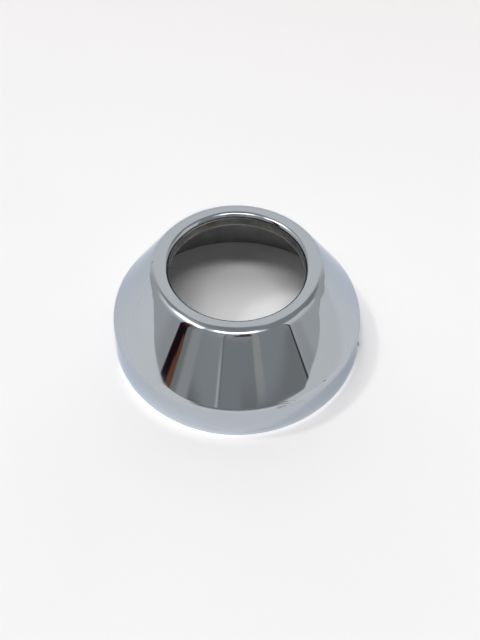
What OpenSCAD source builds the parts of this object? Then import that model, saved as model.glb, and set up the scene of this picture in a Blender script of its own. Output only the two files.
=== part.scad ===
/* [Pipe] */
// Outside diameter of the pipe that passes through the collar
pipe_d = 32; // [25:0.5:40]
// Room between the pipe and the collar, measured on the diameter
pipe_clearance = 1.2; // [0.2:0.1:2]

/* [Bell] */
// Diameter of the base edge, which sits against the wall
base_d = 64; // [58:0.5:90]
// Height from the wall to the crown
bell_h = 26; // [20:0.5:40]
// Height of the skirt, from the wall to the middle of its turn into the cone
skirt_h = 7.7; // [5:0.1:11]
// Draft of the skirt, in degrees: its foot stands out further than its top
skirt_draft = 3; // [0:0.25:6]

/* [Crown] */
// Width of the flat ring on the crown, between the lip and the upper shoulder
crown_flat_w = 0.3; // [0.1:0.1:3]
// Height of the turned-in collar, from the crown to its cut edge
collar_h = 4; // [3:0.1:8]

/* [Sheet] */
// Thickness of the sheet, the same all over
sheet_t = 0.6; // [0.4:0.05:1]
// Radius that breaks the corners of the two cut edges
edge_r = 0.15; // [0.05:0.05:0.25]

/* [Turns] */
// Outside radius of the lower shoulder, from the skirt into the cone
lower_shoulder_r = 4.5; // [2:0.1:6]
// Outside radius of the upper shoulder, from the cone onto the crown
upper_shoulder_r = 3.4; // [1.5:0.1:5]
// Outside radius of the lip, from the crown down into the collar
lip_r = 1.5; // [1.1:0.1:2.5]

/* [Hidden] */
$fn = 180;

// The section lies in the half plane of radius (x) and height (y). Both faces of the sheet
// turn about the same three centres, so it keeps one thickness from the base to the collar.
base_r = base_d / 2;
bore_r = (pipe_d + pipe_clearance) / 2;
lip_centre = [bore_r + lip_r, bell_h - lip_r];
upper_centre = [lip_centre.x + crown_flat_w, bell_h - upper_shoulder_r];
lower_centre = [skirt_x(skirt_h, lower_shoulder_r), skirt_h];

// The cone is the straight line that touches both shoulders on their outer side. This is the
// angle at which its face looks out, counted from the outward radius towards the crown.
cone_run = upper_centre - lower_centre;
cone_angle = atan2(cone_run.y, cone_run.x)
    - acos((lower_shoulder_r - upper_shoulder_r) / norm(cone_run));

// How far a straight run ends inside the round one that it touches, so that the two join
// without a sliver between them
weld = sheet_t / 1000;

// Unit vector at an angle from the outward radius
function toward(angle) = [cos(angle), sin(angle)];

// Radius of the skirt's face at a height, or of a line that lies a depth behind that face
function skirt_x(height, depth) = base_r - height * tan(skirt_draft) - depth / cos(skirt_draft);

// Upper half of a disc, on the outward side of its centre
module outward_quarter(r) {
    intersection() {
        circle(r = r);
        square(2 * r);
    }
}

// The section as if it were filled in from the collar's bore out to the bell's face and down
// to a floor, with every face moved in by a depth
module filled(depth, floor_y) {
    polygon([
        [bore_r + depth, floor_y],
        [skirt_x(floor_y, depth), floor_y],
        lower_centre + (lower_shoulder_r - depth - weld) * toward(skirt_draft),
        lower_centre + (lower_shoulder_r - depth - weld) * toward(cone_angle),
        upper_centre + (upper_shoulder_r - depth - weld) * toward(cone_angle),
        [upper_centre.x, bell_h - depth],
        [lip_centre.x, bell_h - depth],
        [bore_r + depth, lip_centre.y]
    ]);
    translate(lower_centre)
        outward_quarter(lower_shoulder_r - depth);
    translate(upper_centre)
        outward_quarter(upper_shoulder_r - depth);
    translate(lip_centre)
        mirror([1, 0])
            outward_quarter(lip_r - depth);
}

// Everything behind the sheet, inside the bell
module hollow() {
    filled(sheet_t, -sheet_t);
}

// The space below the collar's cut edge
module below_collar() {
    translate([bore_r - sheet_t, -sheet_t])
        square([3 * sheet_t, sheet_t + bell_h - collar_h]);
}

// What a rounded corner takes off the sheet. The two sides leave the corner at these angles.
module corner_waste(corner, side_a, side_b) {
    half = (side_b - side_a) / 2;
    inset = edge_r - weld;
    centre = corner + inset / sin(half) * toward(side_a + half);
    touch_a = corner + inset / tan(half) * toward(side_a);
    touch_b = corner + inset / tan(half) * toward(side_b);
    difference() {
        polygon([centre, 2 * touch_a - centre, 2 * corner - centre, 2 * touch_b - centre]);
        translate(centre)
            circle(r = edge_r);
    }
}

// Both corners of the base edge, which lies flat on the wall
module base_edge_waste() {
    corner_waste([base_r, 0], 90 + skirt_draft, 180);
    corner_waste([skirt_x(0, sheet_t), 0], 0, 90 + skirt_draft);
}

// Both corners of the collar's cut edge
module collar_edge_waste() {
    foot_y = bell_h - collar_h;
    corner_waste([bore_r, foot_y], 0, 90);
    corner_waste([bore_r + sheet_t, foot_y], 90, 180);
}

module sheet_section() {
    difference() {
        filled(0, 0);
        hollow();
        below_collar();
        base_edge_waste();
        collar_edge_waste();
    }
}

// The whole rosette is one round of sheet, spun to its bell and turned in at the pipe
module rosette() {
    color([0.80, 0.82, 0.84])
        rotate_extrude()
            sheet_section();
}

rosette();
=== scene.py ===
import math

import bpy
from mathutils import Matrix, Vector


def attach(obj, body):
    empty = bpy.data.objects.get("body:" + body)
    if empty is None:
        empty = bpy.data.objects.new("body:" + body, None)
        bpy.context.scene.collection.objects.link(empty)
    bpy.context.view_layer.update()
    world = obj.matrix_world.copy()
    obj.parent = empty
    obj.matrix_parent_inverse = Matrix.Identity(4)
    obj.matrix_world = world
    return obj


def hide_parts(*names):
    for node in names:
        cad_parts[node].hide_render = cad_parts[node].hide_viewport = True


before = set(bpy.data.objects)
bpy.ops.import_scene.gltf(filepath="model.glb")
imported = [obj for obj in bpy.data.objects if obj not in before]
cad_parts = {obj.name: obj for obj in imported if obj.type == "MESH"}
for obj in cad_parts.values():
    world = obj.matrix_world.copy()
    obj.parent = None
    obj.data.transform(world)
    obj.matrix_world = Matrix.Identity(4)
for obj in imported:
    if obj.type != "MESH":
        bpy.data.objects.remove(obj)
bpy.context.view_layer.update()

MM = 0.001
PER_METRE = 1 / MM
QUARTER = math.pi / 2
FULL_TURN = 360.0

# ---------------------------------------------------------------- sizes of the rosette, in mm
PIPE_D = 32.0
PIPE_CLEARANCE = 1.2
BASE_D = 64.0
BELL_H = 26.0
SKIRT_H = 7.7
SKIRT_DRAFT = math.radians(3.0)
CROWN_FLAT_W = 0.3
COLLAR_H = 4.0
SHEET_T = 0.6
EDGE_R = 0.15
LOWER_SHOULDER_R = 4.5
UPPER_SHOULDER_R = 3.4
LIP_R = 1.5

BASE_R = BASE_D / 2
BORE_R = (PIPE_D + PIPE_CLEARANCE) / 2
FOOT_Z = BELL_H - COLLAR_H

# How many steps the mesh takes round the axis, and along each run of the section, on the outer face
# and on the inner one
AROUND = 480
SKIRT_STEPS, INNER_SKIRT_STEPS = 10, 8
LOWER_STEPS, INNER_LOWER_STEPS = 16, 10
CONE_STEPS, INNER_CONE_STEPS = 16, 12
UPPER_STEPS, INNER_UPPER_STEPS = 24, 12
LIP_STEPS, INNER_LIP_STEPS = 22, 10
COLLAR_STEPS, INNER_COLLAR_STEPS = 6, 4
EDGE_STEPS = 4


def toward(angle):
    return Vector((math.cos(angle), math.sin(angle)))


def skirt_x(height, depth):
    """Radius of the skirt at a height, a depth behind its face."""
    return BASE_R - height * math.tan(SKIRT_DRAFT) - depth / math.cos(SKIRT_DRAFT)


LIP_C = Vector((BORE_R + LIP_R, BELL_H - LIP_R))
UPPER_C = Vector((LIP_C.x + CROWN_FLAT_W, BELL_H - UPPER_SHOULDER_R))
LOWER_C = Vector((skirt_x(SKIRT_H, LOWER_SHOULDER_R), SKIRT_H))
CONE_RUN = UPPER_C - LOWER_C
CONE_ANGLE = math.atan2(CONE_RUN.y, CONE_RUN.x) - math.acos(
    (LOWER_SHOULDER_R - UPPER_SHOULDER_R) / CONE_RUN.length)


# ---------------------------------------------------------------- the section of the sheet
def arc(centre, radius, start, end, steps):
    return [centre + radius * toward(start + (end - start) * i / steps) for i in range(steps + 1)]


def line(start, end, steps):
    """Points between two ends, which both belong to the runs on either side."""
    return [start.lerp(end, i / steps) for i in range(1, steps)]


def broken_corner(point, side_a, side_b):
    """A corner of a cut edge, from the side that leaves it at angle a to the one at angle b."""
    half = (side_b - side_a) / 2
    centre = point + EDGE_R / math.sin(half) * toward(side_a + half)
    return arc(centre, EDGE_R, side_a - QUARTER, side_b - 3 * QUARTER, EDGE_STEPS)


def outer_face():
    """From the base edge over both shoulders and round the lip."""
    run = broken_corner(Vector((BASE_R, 0)), QUARTER + SKIRT_DRAFT, math.pi)[::-1]
    run += line(run[-1], LOWER_C + LOWER_SHOULDER_R * toward(SKIRT_DRAFT), SKIRT_STEPS)
    run += arc(LOWER_C, LOWER_SHOULDER_R, SKIRT_DRAFT, CONE_ANGLE, LOWER_STEPS)
    run += line(run[-1], UPPER_C + UPPER_SHOULDER_R * toward(CONE_ANGLE), CONE_STEPS)
    run += arc(UPPER_C, UPPER_SHOULDER_R, CONE_ANGLE, QUARTER, UPPER_STEPS)
    return run + arc(LIP_C, LIP_R, QUARTER, math.pi, LIP_STEPS)


def collar_face(start):
    """From the lip down the bore and round the cut edge."""
    edge_z = FOOT_Z + EDGE_R
    run = line(start, Vector((BORE_R, edge_z)), COLLAR_STEPS)
    run += arc(Vector((BORE_R + EDGE_R, edge_z)), EDGE_R, math.pi, 3 * QUARTER, EDGE_STEPS)
    return run + arc(Vector((BORE_R + SHEET_T - EDGE_R, edge_z)), EDGE_R, -QUARTER, 0, EDGE_STEPS)


def inner_face(start):
    """From the cut edge up behind the collar, over the shoulders and down to the base edge."""
    upper_r, lower_r = UPPER_SHOULDER_R - SHEET_T, LOWER_SHOULDER_R - SHEET_T
    run = line(start, Vector((BORE_R + SHEET_T, LIP_C.y)), INNER_COLLAR_STEPS)
    run += arc(LIP_C, LIP_R - SHEET_T, math.pi, QUARTER, INNER_LIP_STEPS)
    run += arc(UPPER_C, upper_r, QUARTER, CONE_ANGLE, INNER_UPPER_STEPS)
    run += line(run[-1], LOWER_C + lower_r * toward(CONE_ANGLE), INNER_CONE_STEPS)
    run += arc(LOWER_C, lower_r, CONE_ANGLE, SKIRT_DRAFT, INNER_LOWER_STEPS)
    foot = broken_corner(Vector((skirt_x(0, SHEET_T), 0)), 0, QUARTER + SKIRT_DRAFT)[::-1]
    return run + line(run[-1], foot[0], INNER_SKIRT_STEPS) + foot


def sheet_section():
    """The closed section in three runs: the outer face, the collar, and the inner face."""
    outside = outer_face()
    collar = collar_face(outside[-1])
    return outside, collar, inner_face(collar[-1])


# The round of the sheet is out by a few hundredths of a millimetre, in these waves: number of
# lobes, height in mm, turn per mm of the bell's height and phase, both in radians
WAVES = (
    (2, 0.030, 0.0, 0.4),
    (5, 0.012, 0.05, 1.9),
    (13, 0.0040, 0.11, 2.7),
    (23, 0.0022, -0.16, 0.3),
    (37, 0.0010, 0.22, 5.1),
)

# The burr on the foot's edge: its azimuth from the front, its height, its half length and how far
# it stands out, in mm
BURR_AZIMUTH = math.radians(81.0)
BURR_Z = 0.35
BURR_HALF = 0.40
BURR_RISE = 0.40


def wave(azimuth, height):
    return sum(size * math.sin(lobes * azimuth + turn * height + phase)
               for lobes, size, turn, phase in WAVES)


def burr(azimuth, point):
    away = math.hypot((azimuth - BURR_AZIMUTH) * point.x, point.y - BURR_Z) / BURR_HALF
    return BURR_RISE * math.exp(-away * away)


def add_mesh(name, verts, faces):
    """A new object in the scene, from points in metres."""
    mesh = bpy.data.meshes.new(name)
    mesh.from_pydata(verts, [], faces)
    obj = bpy.data.objects.new(name, mesh)
    bpy.context.scene.collection.objects.link(obj)
    return obj


def lathe(name, points):
    """Spins the closed section into a mesh, with the waves and the burr."""
    count = len(points)
    verts = []
    for i in range(AROUND):
        turn = 2 * math.pi * i / AROUND
        azimuth = math.remainder(turn + QUARTER, 2 * math.pi)
        for p in points:
            radius = p.x + wave(azimuth, p.y) + burr(azimuth, p)
            verts.append((radius * math.cos(turn) * MM, radius * math.sin(turn) * MM, p.y * MM))
    faces = []
    for i in range(AROUND):
        here, there = i * count, (i + 1) % AROUND * count
        for j in range(count):
            k = (j + 1) % count
            faces.append((here + j, there + j, there + k, here + k))
    obj = add_mesh(name, verts, faces)
    obj.data.shade_smooth()
    return obj


# ---------------------------------------------------------------- node helpers
class Graph:
    """Short names for the shader nodes that this scene uses."""

    def __init__(self, tree):
        self.nodes = tree.nodes
        self.links = tree.links
        self.nodes.clear()

    def put(self, socket, value):
        if isinstance(value, bpy.types.NodeSocket):
            self.links.new(value, socket)
        elif value is not None:
            if hasattr(value, "__len__") and len(value) == 3 and len(socket.default_value) == 4:
                value = (*value, 1.0)
            socket.default_value = value

    def math(self, operation, a, b=None):
        node = self.nodes.new("ShaderNodeMath")
        node.operation = operation
        self.put(node.inputs[0], a)
        self.put(node.inputs[1], b)
        return node.outputs[0]

    def times(self, *values):
        out = values[0]
        for value in values[1:]:
            out = self.math("MULTIPLY", out, value)
        return out

    def step(self, value, low, high):
        """0 below low and 1 above high, smooth between; high may be the smaller one."""
        node = self.nodes.new("ShaderNodeMapRange")
        node.interpolation_type = "SMOOTHSTEP"
        flip = low > high
        self.put(node.inputs["Value"], value)
        node.inputs["From Min"].default_value = min(low, high)
        node.inputs["From Max"].default_value = max(low, high)
        node.inputs["To Min"].default_value = 1.0 if flip else 0.0
        node.inputs["To Max"].default_value = 0.0 if flip else 1.0
        return node.outputs["Result"]

    def band(self, value, low, high, soft):
        """1 between low and high, both edges being soft over the same width."""
        up = self.step(value, low - soft / 2, low + soft / 2)
        down = self.step(value, high + soft / 2, high - soft / 2)
        return self.times(up, down)

    def mix(self, factor, a, b):
        node = self.nodes.new("ShaderNodeMix")
        node.data_type = "RGBA"
        node.clamp_factor = True
        sockets = {s.identifier: s for s in node.inputs}
        self.put(sockets["Factor_Float"], factor)
        self.put(sockets["A_Color"], a)
        self.put(sockets["B_Color"], b)
        return {s.identifier: s for s in node.outputs}["Result_Color"]

    def lerp(self, factor, a, b):
        """The same between two plain numbers."""
        node = self.nodes.new("ShaderNodeMapRange")
        self.put(node.inputs["Value"], factor)
        node.inputs["To Min"].default_value = a
        node.inputs["To Max"].default_value = b
        return node.outputs["Result"]

    def noise(self, vector, scale, detail, roughness):
        node = self.nodes.new("ShaderNodeTexNoise")
        self.put(node.inputs["Vector"], vector)
        node.inputs["Scale"].default_value = scale
        node.inputs["Detail"].default_value = detail
        node.inputs["Roughness"].default_value = roughness
        return node.outputs["Fac"]

    def scaled(self, vector, scale):
        node = self.nodes.new("ShaderNodeVectorMath")
        node.operation = "MULTIPLY"
        self.put(node.inputs[0], vector)
        node.inputs[1].default_value = scale
        return node.outputs[0]

    def coordinates(self, kind):
        return self.nodes.new("ShaderNodeTexCoord").outputs[kind]

    def split(self, vector):
        node = self.nodes.new("ShaderNodeSeparateXYZ")
        self.put(node.inputs[0], vector)
        return node.outputs

    def split_mm(self, vector):
        return self.split(self.scaled(vector, (PER_METRE, PER_METRE, PER_METRE)))

    def polar(self, vector):
        """Azimuth from the front in degrees, + to the right, and the third coordinate."""
        x, y, z = self.split(vector)
        azimuth = self.math("DEGREES", self.math("ARCTAN2", x, self.times(y, -1.0)))
        return azimuth, z


def new_material(name):
    material = bpy.data.materials.new(name)
    material.use_nodes = True
    return material, Graph(material.node_tree)


def finish_material(g, shader):
    output = g.nodes.new("ShaderNodeOutputMaterial")
    g.links.new(shader.outputs[0], output.inputs["Surface"])


# ---------------------------------------------------------------- the room that the chrome mirrors
def grey(level, tint=(1.0, 1.0, 1.0)):
    return tuple(level * t for t in tint)


WARM_WOOD = (1.0, 0.43, 0.24)
DARK_WOOD = (1.0, 0.42, 0.60)
BROWN_WOOD = (1.0, 0.38, 0.22)
RED_WOOD = (1.0, 0.52, 0.42)
BROWN_SHADE = (1.0, 0.88, 0.80)
BROWN_TRIM = (1.0, 0.80, 0.62)
WARM_GREY = (1.0, 0.97, 0.91)
COOL_SKY = (0.93, 0.99, 1.08)
COOL_GREY = (0.97, 1.0, 1.03)

# Ends of the patches that run on below the horizon, past the zenith, and all the way round
DOWN, UP, ROUND = -80, 200, 400

# Each patch of the room: name, azimuth from and to, elevation from and to, softness of the edges
# across and up, and its radiance, all in degrees from the part. Azimuth 0 is straight in front,
# + to the right. Each one covers those before it.
ROOM = (
    ("front_wall", -128, 128, DOWN, 64, 16, 8, grey(0.54)),
    ("left_wall_near", -76, -60, DOWN, 34, 14, 20, grey(0.455)),
    ("front_ceiling", -118, 112, 62, UP, 26, 10, grey(0.37, COOL_GREY)),
    ("zenith", -ROUND, ROUND, 77, UP, 10, 9, grey(0.33, COOL_GREY)),
    ("left_wall_soft", -110, -60, 26, 60, 14, 28, grey(0.80)),
    ("left_wall_glow", -108, -50, 37, 52, 14, 20, grey(1.30)),
    ("left_wall_dark", -124, -98, 42, 66, 14, 12, grey(0.36)),
    ("front_grey", -54, 57, DOWN, 50, 10, 10, grey(0.36, COOL_GREY)),
    ("front_left_light", -38, -14, 14, 38, 16, 20, grey(0.42)),
    ("front_left_low", -54, -27, DOWN, 7.4, 8, 3, grey(0.22)),
    ("right_grey", 36, 62, DOWN, 50, 8, 10, grey(0.355, COOL_GREY)),
    ("right_low", 15, 64, DOWN, 8.4, 6, 3, grey(0.27)),
    ("right_wall_low", 58.2, 100, -20, 38, 1.5, 8, grey(0.56)),
    ("right_wall_near", 58.2, 70, -20, 16, 8, 14, grey(0.46)),
    ("right_wall_high", 58.2, 99, 14, 60, 3, 30, grey(0.84)),
    ("right_dark", 38, 122, 42, 72, 12, 10, grey(0.34, COOL_GREY)),
    ("right_corner", 92, 121, 28, 52, 12, 14, grey(0.30)),
    ("window_left_sky", -93, -46, 41, 56, 6, 7, grey(1.9, COOL_SKY)),
    ("window_left", -86, -47, 42.5, 54.0, 5, 6, grey(4.0)),
    ("window_front_sky", -41, 40, 46, 60, 11, 9, grey(1.2, COOL_SKY)),
    ("window_front", -32, 30, 51.5, 61.5, 7, 5, grey(4.5)),
    ("light_band_left", -21, -14, 16, 44, 8, 10, grey(0.49, WARM_GREY)),
    ("light_line_left", -16.4, -13.4, 3.5, 12.5, 1.8, 4, grey(0.58)),
    ("light_band_right", 15.4, 23.0, 9.6, 44, 2.0, 3.5, grey(0.455, WARM_GREY)),
    ("door_side", -54.0, -47.6, DOWN, 38, 3, 8, grey(0.27)),
    ("door_side_light", -47.6, -38, DOWN, 40, 4, 10, grey(0.42)),
    ("centre_panel", -13.5, 15.5, DOWN, 46, 1.6, 5, grey(0.315, COOL_GREY)),
    ("centre_low_right", 3, 15.5, DOWN, 10.2, 6, 3, grey(0.255)),
    ("centre_top", -12, 15, 14.6, 46, 2, 2.5, grey(0.375)),
    ("centre_light", -11.5, 3, 26, 46, 3, 8, grey(0.42)),
    ("centre_panel_edge", -14.2, -12.8, 7, 42, 1.2, 8, grey(0.25)),
    ("centre_dark", -3, 16, 27, 38, 7, 6, grey(0.11, BROWN_SHADE)),
    ("centre_brown", 3, 16.5, 29, 47, 3, 5, grey(0.10, BROWN_TRIM)),
    ("door_dark", -63.2, -53.6, -8, 33, 1.5, 8, grey(0.017, DARK_WOOD)),
    ("door_wood", -60.0, -53.2, 9.0, 33, 2.4, 4, grey(0.066, BROWN_WOOD)),
    ("door_glow_low", -56.9, -52.4, -8, 5.3, 1.2, 0.6, grey(0.19, WARM_WOOD)),
    ("door_glow", -55.8, -52.6, 5.3, 7.2, 1.2, 0.6, grey(0.19, WARM_WOOD)),
    ("door_haze", -61.5, -54.0, 32, 44, 4.0, 9, grey(0.42, RED_WOOD)),
    ("post_right", 56.5, 58.0, -8, 33, 0.9, 10, grey(0.04)),
)
# The rest of the room, which lies behind, and the backdrop that the camera sees
BACK_LEVEL = 0.83
BACKDROP_LEVEL = 0.93

# What the paper sees of the room: an even soft light overhead that is weaker near the horizon, from
# one elevation to another, with one of the windows in it
AMBIENT_LEVEL = 0.26
AMBIENT_LOW = 0.05
AMBIENT_RISE = (20.0, 50.0)
AMBIENT_WINDOW_NAME = "window_left"
AMBIENT_WINDOW = 1.5
# and with the light wall behind, which starts this far round from the front on both sides and
# stands between these elevations
AMBIENT_WALL = 0.85
WALL_START = (95.0, 130.0)
WALL_LOW, WALL_HIGH, WALL_SOFT = 10.0, 50.0, 10.0
# What reaches the paper by way of the chrome, in place of the lamps, which it doesn't mirror
WASH_LEVEL = 0.78
# Diffuse depth is a whole number, and is more than this once a ray has left the paper
BOUNCED = 0.5


def patch_mask(g, azimuth, elevation, patch):
    _, a0, a1, e0, e1, soft_a, soft_e, _ = patch
    return g.times(g.band(azimuth, a0, a1, soft_a), g.band(elevation, e0, e1, soft_e))


def mirrored_room(g, azimuth, elevation):
    colour = grey(BACK_LEVEL)
    for patch in ROOM:
        colour = g.mix(patch_mask(g, azimuth, elevation, patch), colour, patch[-1])
    return colour


def soft_room(g, azimuth, elevation):
    window = next(patch for patch in ROOM if patch[0] == AMBIENT_WINDOW_NAME)
    colour = g.mix(g.step(elevation, *AMBIENT_RISE), grey(AMBIENT_LOW), grey(AMBIENT_LEVEL))
    colour = g.mix(patch_mask(g, azimuth, elevation, window), colour, grey(AMBIENT_WINDOW))
    wall = g.times(g.step(g.math("ABSOLUTE", azimuth), *WALL_START),
                   g.band(elevation, WALL_LOW, WALL_HIGH, WALL_SOFT))
    return g.mix(wall, colour, grey(AMBIENT_WALL))


def room_world():
    world = bpy.data.worlds.new("room")
    world.use_nodes = True
    bpy.context.scene.world = world
    g = Graph(world.node_tree)
    azimuth, height = g.polar(g.coordinates("Generated"))
    elevation = g.math("DEGREES", g.math("ARCSINE", height))
    path = g.nodes.new("ShaderNodeLightPath").outputs
    scattered = g.math("GREATER_THAN", path["Diffuse Depth"], BOUNCED)
    mirrored = g.mix(scattered, mirrored_room(g, azimuth, elevation), grey(WASH_LEVEL))
    colour = g.mix(path["Is Glossy Ray"], soft_room(g, azimuth, elevation), mirrored)
    colour = g.mix(path["Is Camera Ray"], colour, grey(BACKDROP_LEVEL))
    background = g.nodes.new("ShaderNodeBackground")
    g.put(background.inputs["Color"], colour)
    output = g.nodes.new("ShaderNodeOutputWorld")
    g.links.new(background.outputs[0], output.inputs["Surface"])


# Lamps, which the chrome doesn't mirror: name, tilt to the front and to the left, in degrees from
# overhead, how wide each looks, and the share of the paper's light that it gives
LAMPS = (
    ("ceiling_lamp_back", -7.0, 10.0, 30.0, 0.24),
    ("window_lamp_back", -9.0, 31.9, 7.0, 0.158),
)
# The tube on the ceiling, as a row of lamps from left to right: the tilt of its middle, half its
# length in degrees, and the same values of each lamp
TUBE_FRONT, TUBE_LEFT, TUBE_HALF = 17.4, 2.5, 12.5
TUBE_COUNT, TUBE_WIDTH, TUBE_SHARE = 5, 8.0, 0.31


def build_lamp(name, front, left, width, share):
    data = bpy.data.lights.new(name, "SUN")
    data.angle = math.radians(width)
    tilt_left, tilt_front = math.tan(math.radians(left)), math.tan(math.radians(front))
    toward_lamp = Vector((-tilt_left, -tilt_front, 1)).normalized()
    data.energy = share * math.pi / toward_lamp.z
    obj = bpy.data.objects.new(name, data)
    obj.rotation_mode = "QUATERNION"
    obj.rotation_quaternion = toward_lamp.to_track_quat("Z", "Y")
    obj.visible_glossy = False
    bpy.context.scene.collection.objects.link(obj)


def build_lamps():
    for lamp in LAMPS:
        build_lamp(*lamp)
    for i in range(TUBE_COUNT):
        left = TUBE_LEFT + TUBE_HALF * (2 * i / (TUBE_COUNT - 1) - 1)
        build_lamp(f"ceiling_tube_{i}", TUBE_FRONT, left, TUBE_WIDTH, TUBE_SHARE / TUBE_COUNT)


# ---------------------------------------------------------------- stage
# From here on a noise is given by its scale per metre, its detail and its roughness, and a range by
# the value where a thing begins and the one where it is full
FLOOR_HALF = 3000.0
PAPER = (0.872, 0.870, 0.876)
# The paper's tone further back, and from where to where it changes, in mm behind the part; the
# line of equal tone slants by this share of a mm for each mm to the right
PAPER_WARM = (0.822, 0.798, 0.796)
PAPER_FADE = (0.0, 240.0)
PAPER_SLANT = 0.25
# The paper is blotched with that tone, in this range of the noise, by this share
GRAIN_NOISE = (9.0, 3.0, 0.5)
GRAIN_RANGE = (0.35, 0.75)
GRAIN_SHARE = 0.25
# Painted light: an emission on the paper along the skirt's foot, in place of the light that the
# skirt throws down there. How far out from the axis it is full and where it ends, in mm, from and
# to which azimuth, how soft it is there, and its radiance. The second is the thin bright line right
# at the foot. It all starts under the sheet.
PAINTED_FOOT_GLOWS = (
    (31.8, 35.6, -54.0, 52.0, 44.0, 0.21),
    (31.9, 33.2, -66.0, 72.0, 16.0, 0.22),
)
PAINTED_GLOW_START = (BASE_R - SHEET_T, BASE_R)

# The raised edges of the paper, out of the picture, which only the chrome sees: where they stand,
# and how high they rise, as pairs of place from front to back and height
TRAY_SIDE, TRAY_FRONT, TRAY_BACK = 93.0, -84.0, 300.0
TRAY_LEFT_RISE = (
    (TRAY_FRONT, 17.0), (-72, 15.7), (-50, 15.5), (-38, 16.0), (-20, 16.7), (-5, 16.3),
    (4, 14.9), (14, 12.6), (26, 11.9), (40, 16.0), (TRAY_BACK, 18.0),
)
TRAY_RIGHT_RISE = (
    (TRAY_FRONT, 17.5), (-60, 17.8), (-38, 16.9), (-8, 17.0), (8, 14.0), (30, 5.5), (50, 0.5),
    (TRAY_BACK, 0.5),
)
# Their radiance on the left, on the right, and at the foot, which fades out up to a height
TRAY_LEVEL, TRAY_RIGHT_LEVEL, TRAY_FOOT_LEVEL = 0.92, 0.84, 0.92
TRAY_FADE = 6.0
# The shade on the front one: its middle, its ranges to the side, in height, and in depth behind the
# front, and its radiance
SHADE_MIDDLE = 1.0
SHADE_SIDE = (57.0, 36.0)
SHADE_RISE = (-0.5, 11.5)
SHADE_DEPTH = (1.0, 0.5)
SHADE_LEVEL = 0.28


def stage_mesh(name, verts, faces, material):
    obj = add_mesh(name, [Vector(v) * MM for v in verts], faces)
    obj.data.materials.append(material)
    return obj


# Painted light: how strongly the paper glows along the skirt's foot
def painted_foot_glow(g, coords, x, y):
    away = g.math("SQRT", g.math("ADD", g.times(x, x), g.times(y, y)))
    azimuth, _ = g.polar(coords)
    light = 0.0
    for full, end, a0, a1, soft, level in PAINTED_FOOT_GLOWS:
        patch = g.times(g.step(away, end, full), g.band(azimuth, a0, a1, soft), level)
        light = g.math("ADD", light, patch)
    return g.times(light, g.step(away, *PAINTED_GLOW_START))


def paper_material():
    material, g = new_material("white_paper")
    coords = g.coordinates("Object")
    x, y, _ = g.split_mm(coords)
    behind = g.math("ADD", y, g.times(x, PAPER_SLANT))
    colour = g.mix(g.step(behind, *PAPER_FADE), PAPER, PAPER_WARM)
    grain = g.step(g.noise(coords, *GRAIN_NOISE), *GRAIN_RANGE)
    colour = g.mix(g.times(grain, GRAIN_SHARE), colour, PAPER_WARM)
    shader = g.nodes.new("ShaderNodeBsdfDiffuse")
    g.put(shader.inputs["Color"], colour)
    # The paper's painted light along the skirt's foot, as an emission
    glow = g.nodes.new("ShaderNodeEmission")
    g.put(glow.inputs["Strength"], painted_foot_glow(g, coords, x, y))
    both = g.nodes.new("ShaderNodeAddShader")
    g.links.new(shader.outputs[0], both.inputs[0])
    g.links.new(glow.outputs[0], both.inputs[1])
    finish_material(g, both)
    return material


def tray_material():
    material, g = new_material("raised_paper")
    x, y, z = g.split_mm(g.coordinates("Object"))
    across = g.math("ABSOLUTE", g.math("SUBTRACT", x, SHADE_MIDDLE))
    depth_end, depth_full = SHADE_DEPTH
    shade = g.times(g.step(across, *SHADE_SIDE), g.step(z, *SHADE_RISE),
                    g.step(y, TRAY_FRONT + depth_end, TRAY_FRONT + depth_full))
    paper = g.mix(g.step(x, 0.0, TRAY_SIDE), grey(TRAY_LEVEL), grey(TRAY_RIGHT_LEVEL))
    paper = g.mix(g.step(z, 0.0, TRAY_FADE), grey(TRAY_FOOT_LEVEL), paper)
    shader = g.nodes.new("ShaderNodeEmission")
    g.put(shader.inputs["Color"], g.mix(shade, paper, grey(SHADE_LEVEL, COOL_GREY)))
    finish_material(g, shader)
    return material


def rectangle(x0, y0, x1, y1):
    return [(x0, y0, 0), (x1, y0, 0), (x1, y1, 0), (x0, y1, 0)]


def build_floor():
    """The paper, and the floor round it, which the chrome doesn't mirror."""
    paper = paper_material()
    near = rectangle(-TRAY_SIDE, TRAY_FRONT, TRAY_SIDE, TRAY_BACK)
    far = rectangle(-FLOOR_HALF, -FLOOR_HALF, FLOOR_HALF, FLOOR_HALF)
    stage_mesh("floor", near, [(0, 1, 2, 3)], paper)
    ring = [(i, 4 + i, 4 + (i + 1) % 4, (i + 1) % 4) for i in range(4)]
    beyond = stage_mesh("floor_beyond", near + far, ring, paper)
    beyond.visible_glossy = False


def build_tray():
    rim = [(-TRAY_SIDE, y, z) for y, z in reversed(TRAY_LEFT_RISE)]
    rim += [(TRAY_SIDE, y, z) for y, z in TRAY_RIGHT_RISE]
    verts = [point for x, y, z in rim for point in ((x, y, 0.0), (x, y, z))]
    faces = [(i, i + 2, i + 3, i + 1) for i in range(0, len(verts) - 2, 2)]
    tray = stage_mesh("tray_edge", verts, faces, tray_material())
    tray.visible_camera = False
    tray.visible_diffuse = False
    tray.visible_shadow = False


# ---------------------------------------------------------------- materials of the rosette
CHROME = (0.492, 0.524, 0.555)
# The plating on the skirt is painted a little lighter and bluer, a painted reflection of the bright
# floor and sky that it mirrors, up to its turn into the cone, where it fades between these heights
SKIRT_PAINTED_SHEEN = (0.520, 0.557, 0.600)
SKIRT_SHEEN_FADE = (6.0, 9.5)
# The share of its mirroring that the plating keeps at a low angle, next to an even metal
CHROME_EDGE = (0.69, 0.74, 0.82)
EVEN_METAL = (1.0, 1.0, 1.0)
# Wiped smears: their noise and range, how much of the worn colour they take, and the plating's
# roughness off and on them
CHROME_WORN = (0.40, 0.415, 0.43)
SMEAR_NOISE = (70.0, 4.0, 0.6)
SMEAR_RANGE = (0.45, 0.75)
SMEAR_SHARE = 0.10
SMEAR_ROUGHNESS = (0.025, 0.055)
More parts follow.
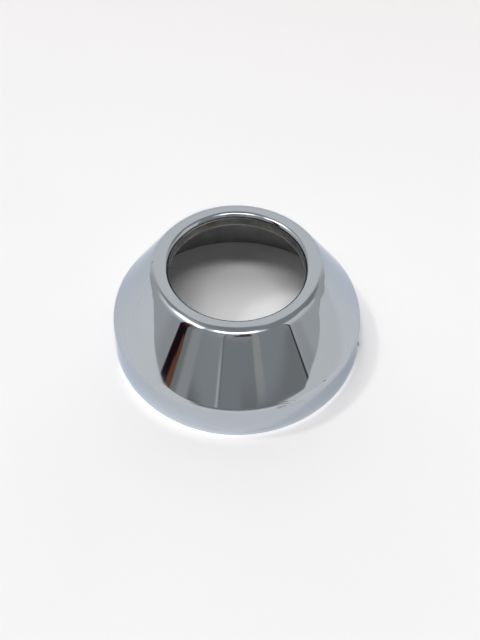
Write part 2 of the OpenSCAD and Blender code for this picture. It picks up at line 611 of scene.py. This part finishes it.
# The rings left by spinning: their noise, stretched by this across and up, and their roughness
SPUN_NOISE = (1.0, 3.0, 0.6)
SPUN_STRETCH = (60.0, 60.0, 900.0)
SPUN_ROUGHNESS = 0.012
# Slow waves and fine ripple of the plating: noise and height in metres
PLATE_WAVES = (150.0, 1.0, 0.4)
PLATE_WAVES_HEIGHT = 0.6e-5
PLATE_RIPPLE = (800.0, 1.0, 0.5)
PLATE_RIPPLE_HEIGHT = 5.0e-7

# Scratches and specks on the outside: azimuth and height (mm) of both ends, half width (mm) and
# strength
MARKS = (
    (17.5, 9.2, 21.5, 9.0, 0.34, 0.55),
    (18.5, 10.5, 27.0, 9.5, 0.09, 0.60),
    (19.0, 9.9, 24.0, 9.3, 0.07, 0.75),
    (22.0, 8.9, 30.0, 8.5, 0.06, 0.45),
    (41.6, 10.1, 43.2, 10.0, 0.16, 0.80),
    (-14.6, 2.7, -8.4, 1.9, 0.07, 0.55),
    (-13.0, 1.6, -6.5, 1.3, 0.05, 0.40),
    (-34.0, 3.7, -30.6, 3.4, 0.08, 0.55),
    (-92.9, 25.4, -91.6, 25.3, 0.15, 0.90),
    (8.5, 10.0, 9.8, 10.0, 0.10, 0.60),
    (80.0, 0.4, 82.0, 0.4, 0.50, 1.00),
)
MARK_DARK = (0.10, 0.10, 0.11)
# As shares of a mark's half width: the range of its side, and how far it sways
MARK_SIDE = (1.4, 0.3)
MARK_SWAY = 1.5
MARK_SWAY_NOISE = (900.0, 2.0, 0.5)
NOISE_MIDDLE = 0.5
# The gaps in the marks, and the marks' roughness and depth in metres
MARK_GAP_NOISE = (1600.0, 2.0, 0.5)
MARK_GAP_RANGE = (0.25, 0.60)
MARK_ROUGHNESS = 0.25
MARK_DEPTH = 2.0e-5

# The collar and the inside: colour and roughness
COLLAR_METAL, COLLAR_ROUGHNESS = (0.118, 0.118, 0.113), 0.26
INSIDE_METAL, INSIDE_ROUGHNESS = (0.43, 0.43, 0.435), 0.50
# Their blotches: noise and range, their share and how dark they are, and how much smoother and
# rougher the metal is at the two ends of the noise
BLOTCH_NOISE = (260.0, 4.0, 0.6)
BLOTCH_RANGE = (0.40, 0.75)
BLOTCH_SHARE = 0.30
BLOTCH_LEVEL = 0.55
BLOTCH_SMOOTHER, BLOTCH_ROUGHER = 0.07, 0.10
GRIT_NOISE = (700.0, 3.0, 0.5)
GRIT_HEIGHT = 4.0e-6
# A painted highlight along the collar's cut edge, where its rounded corner mirrors the bright
# floor:
# a lighter colour from below to above the edge, with soft ends, in mm, and in patches by this range
# of the blotches
EDGE_PAINTED_HIGHLIGHT = (0.23, 0.23, 0.235)
HIGHLIGHT_BELOW, HIGHLIGHT_ABOVE, HIGHLIGHT_SOFT = 0.3, 0.5, 0.3
HIGHLIGHT_RANGE = (0.28, 0.5)

STAIN_BROWN = (0.085, 0.062, 0.028)
STAIN_OLIVE = (0.20, 0.185, 0.13)
STAIN_LIGHT = (0.27, 0.265, 0.235)
# Stains inside the collar: azimuth of the middle, half width in degrees, height from and to,
# strength and colour
STAINS = (
    (-153.0, 9.0, 21.6, 25.2, 0.95, STAIN_BROWN),
    (-141.0, 7.0, 21.6, 23.4, 0.60, STAIN_OLIVE),
    (146.0, 17.0, 21.4, 24.2, 0.85, STAIN_LIGHT),
    (156.0, 4.0, 22.6, 24.8, 0.30, STAIN_BROWN),
)
# How soft their ends are, as a share of the half width across and in mm up, and their range in the
# blotches
STAIN_SOFT_ACROSS, STAIN_SOFT_UP = 1.2, 0.8
STAIN_RANGE = (0.34, 0.56)
# The azimuth's jump from a full turn to nothing, in degrees, away from all stains
AZIMUTH_JUMP = 0.01


def mark_mask(g, azimuth, z, mark, sway):
    """1 on a straight mark and 0 off it; a length round the bell is counted at its foot."""
    a0, z0, a1, z1, half, strength = mark
    per_degree = math.radians(BASE_R)
    run, rise = (a1 - a0) * per_degree, z1 - z0
    length = math.hypot(run, rise)
    u = g.times(g.math("SUBTRACT", azimuth, (a0 + a1) / 2), per_degree)
    v = g.math("SUBTRACT", z, (z0 + z1) / 2)
    along = g.math("ADD", g.times(u, run / length), g.times(v, rise / length))
    across = g.math("SUBTRACT", g.times(v, run / length), g.times(u, rise / length))
    across = g.math("ADD", across, g.times(sway, half * MARK_SWAY))
    tip = g.step(g.math("ABSOLUTE", along), length / 2 + half, length / 2 - half)
    side_end, side_full = MARK_SIDE
    side = g.step(g.math("ABSOLUTE", across), half * side_end, half * side_full)
    return g.times(tip, side, strength)


def all_marks(g, coords, azimuth, z):
    sway = g.math("SUBTRACT", g.noise(coords, *MARK_SWAY_NOISE), NOISE_MIDDLE)
    marks = 0.0
    for mark in MARKS:
        marks = g.math("MAXIMUM", marks, mark_mask(g, azimuth, z, mark, sway))
    return g.times(marks, g.step(g.noise(coords, *MARK_GAP_NOISE), *MARK_GAP_RANGE))


def surface_coordinates(g):
    coords = g.coordinates("Object")
    azimuth, z = g.polar(coords)
    return coords, azimuth, g.times(z, PER_METRE)


def metal(g, colour, roughness, normal, edge_tint):
    shader = g.nodes.new("ShaderNodeBsdfPrincipled")
    shader.inputs["Metallic"].default_value = 1.0
    g.put(shader.inputs["Base Color"], colour)
    g.put(shader.inputs["Specular Tint"], edge_tint)
    g.put(shader.inputs["Roughness"], roughness)
    g.put(shader.inputs["Normal"], normal)
    finish_material(g, shader)


def bump(g, height, distance, normal=None):
    node = g.nodes.new("ShaderNodeBump")
    g.put(node.inputs["Height"], height)
    node.inputs["Strength"].default_value = 1.0
    node.inputs["Distance"].default_value = distance
    if normal is not None:
        g.put(node.inputs["Normal"], normal)
    return node.outputs["Normal"]


def chrome_material():
    material, g = new_material("chrome_plate")
    coords, azimuth, z = surface_coordinates(g)
    marks = all_marks(g, coords, azimuth, z)
    smear = g.step(g.noise(coords, *SMEAR_NOISE), *SMEAR_RANGE)
    spun = g.noise(g.scaled(coords, SPUN_STRETCH), *SPUN_NOISE)
    # Painted reflection: the skirt's plating lighter and bluer than the rest
    colour = g.mix(g.step(z, *SKIRT_SHEEN_FADE), SKIRT_PAINTED_SHEEN, CHROME)
    colour = g.mix(g.times(smear, SMEAR_SHARE), colour, CHROME_WORN)
    colour = g.mix(marks, colour, MARK_DARK)
    rough = g.math("ADD", g.lerp(smear, *SMEAR_ROUGHNESS), g.times(spun, SPUN_ROUGHNESS))
    rough = g.math("ADD", rough, g.times(marks, MARK_ROUGHNESS))
    normal = bump(g, g.noise(coords, *PLATE_WAVES), PLATE_WAVES_HEIGHT)
    normal = bump(g, g.noise(coords, *PLATE_RIPPLE), PLATE_RIPPLE_HEIGHT, normal)
    normal = bump(g, marks, -MARK_DEPTH, normal)
    metal(g, colour, rough, normal, CHROME_EDGE)
    return material


def dull_material(name, base, roughness):
    material, g = new_material(name)
    coords, azimuth, z = surface_coordinates(g)
    blotch = g.noise(coords, *BLOTCH_NOISE)
    blotched = g.times(g.step(blotch, *BLOTCH_RANGE), BLOTCH_SHARE)
    colour = g.mix(blotched, base, grey(base[0] * BLOTCH_LEVEL))
    # Painted highlight along the collar's cut edge
    edge_highlight = g.times(g.band(z, FOOT_Z - HIGHLIGHT_BELOW, FOOT_Z + HIGHLIGHT_ABOVE, HIGHLIGHT_SOFT),
                   g.step(blotch, *HIGHLIGHT_RANGE))
    colour = g.mix(edge_highlight, colour, EDGE_PAINTED_HIGHLIGHT)
    left = g.step(azimuth, 0.0, -AZIMUTH_JUMP)
    turned = g.math("ADD", azimuth, g.times(left, FULL_TURN))
    for middle, half, low, high, strength, tint in STAINS:
        at = middle % FULL_TURN
        across = g.band(turned, at - half, at + half, half * STAIN_SOFT_ACROSS)
        up = g.band(z, low, high, STAIN_SOFT_UP)
        mask = g.times(across, up, g.step(blotch, *STAIN_RANGE), strength)
        colour = g.mix(mask, colour, tint)
    rough = g.lerp(blotch, roughness - BLOTCH_SMOOTHER, roughness + BLOTCH_ROUGHER)
    normal = bump(g, g.noise(coords, *GRIT_NOISE), GRIT_HEIGHT)
    metal(g, colour, rough, normal, EVEN_METAL)
    return material


def build_rosette():
    outside, collar, inside = sheet_section()
    points = outside + collar + inside
    obj = lathe("rosette_sheet", points)
    obj.data.materials.append(chrome_material())
    obj.data.materials.append(dull_material("collar_plate", COLLAR_METAL, COLLAR_ROUGHNESS))
    obj.data.materials.append(dull_material("inside_plate", INSIDE_METAL, INSIDE_ROUGHNESS))
    collar_start = len(outside) - 1
    inside_start = len(outside) + len(collar)
    for polygon in obj.data.polygons:
        place = polygon.index % len(points)
        polygon.material_index = int(place >= collar_start) + int(place >= inside_start)
    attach(obj, "root")
    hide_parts("rosette")


# ---------------------------------------------------------------- camera, as the photograph has it
# Its picture, focal length and the base's centre in it, in pixels, and its place, in mm and radians
FRAME_PX = (480, 640)
FOCAL_PX = 787.2
BASE_CENTRE_PX = (236.92, 328.88)
CAMERA_ELEVATION = math.radians(52.99)
CAMERA_DISTANCE = 208.7
CAMERA_ROLL = -0.0020
# From where to where it sees, in metres
CLIP_START, CLIP_END = 0.005, 20.0


def build_camera():
    """The camera looks past the base's centre so that this lands on its pixel in the photograph."""
    e, d = CAMERA_ELEVATION, CAMERA_DISTANCE * MM
    place = Vector((0, -d * math.cos(e), d * math.sin(e)))
    forward = -place.normalized()
    right = Vector((1, 0, 0))
    aimed = Matrix((right, right.cross(forward), forward)).transposed()
    u = (BASE_CENTRE_PX[0] - FRAME_PX[0] / 2) / FOCAL_PX
    v = (FRAME_PX[1] / 2 - BASE_CENTRE_PX[1]) / FOCAL_PX
    turn = Vector((0, 0, 1)).rotation_difference(Vector((u, v, 1)).normalized()).to_matrix()
    rows = Matrix.Rotation(CAMERA_ROLL, 3, "Z") @ turn @ aimed.transposed()
    axes = Matrix((rows[0], rows[1], -rows[2])).transposed()
    data = bpy.data.cameras.new("photo_camera")
    data.sensor_fit = "VERTICAL"
    data.lens = FOCAL_PX / FRAME_PX[1] * data.sensor_height
    data.clip_start = CLIP_START
    data.clip_end = CLIP_END
    obj = bpy.data.objects.new("photo_camera", data)
    obj.matrix_world = Matrix.Translation(place) @ axes.to_4x4()
    bpy.context.scene.collection.objects.link(obj)
    bpy.context.scene.camera = obj


build_camera()
room_world()
build_lamps()
build_floor()
build_tray()
build_rosette()

bpy.context.scene.view_settings.view_transform = "Standard"
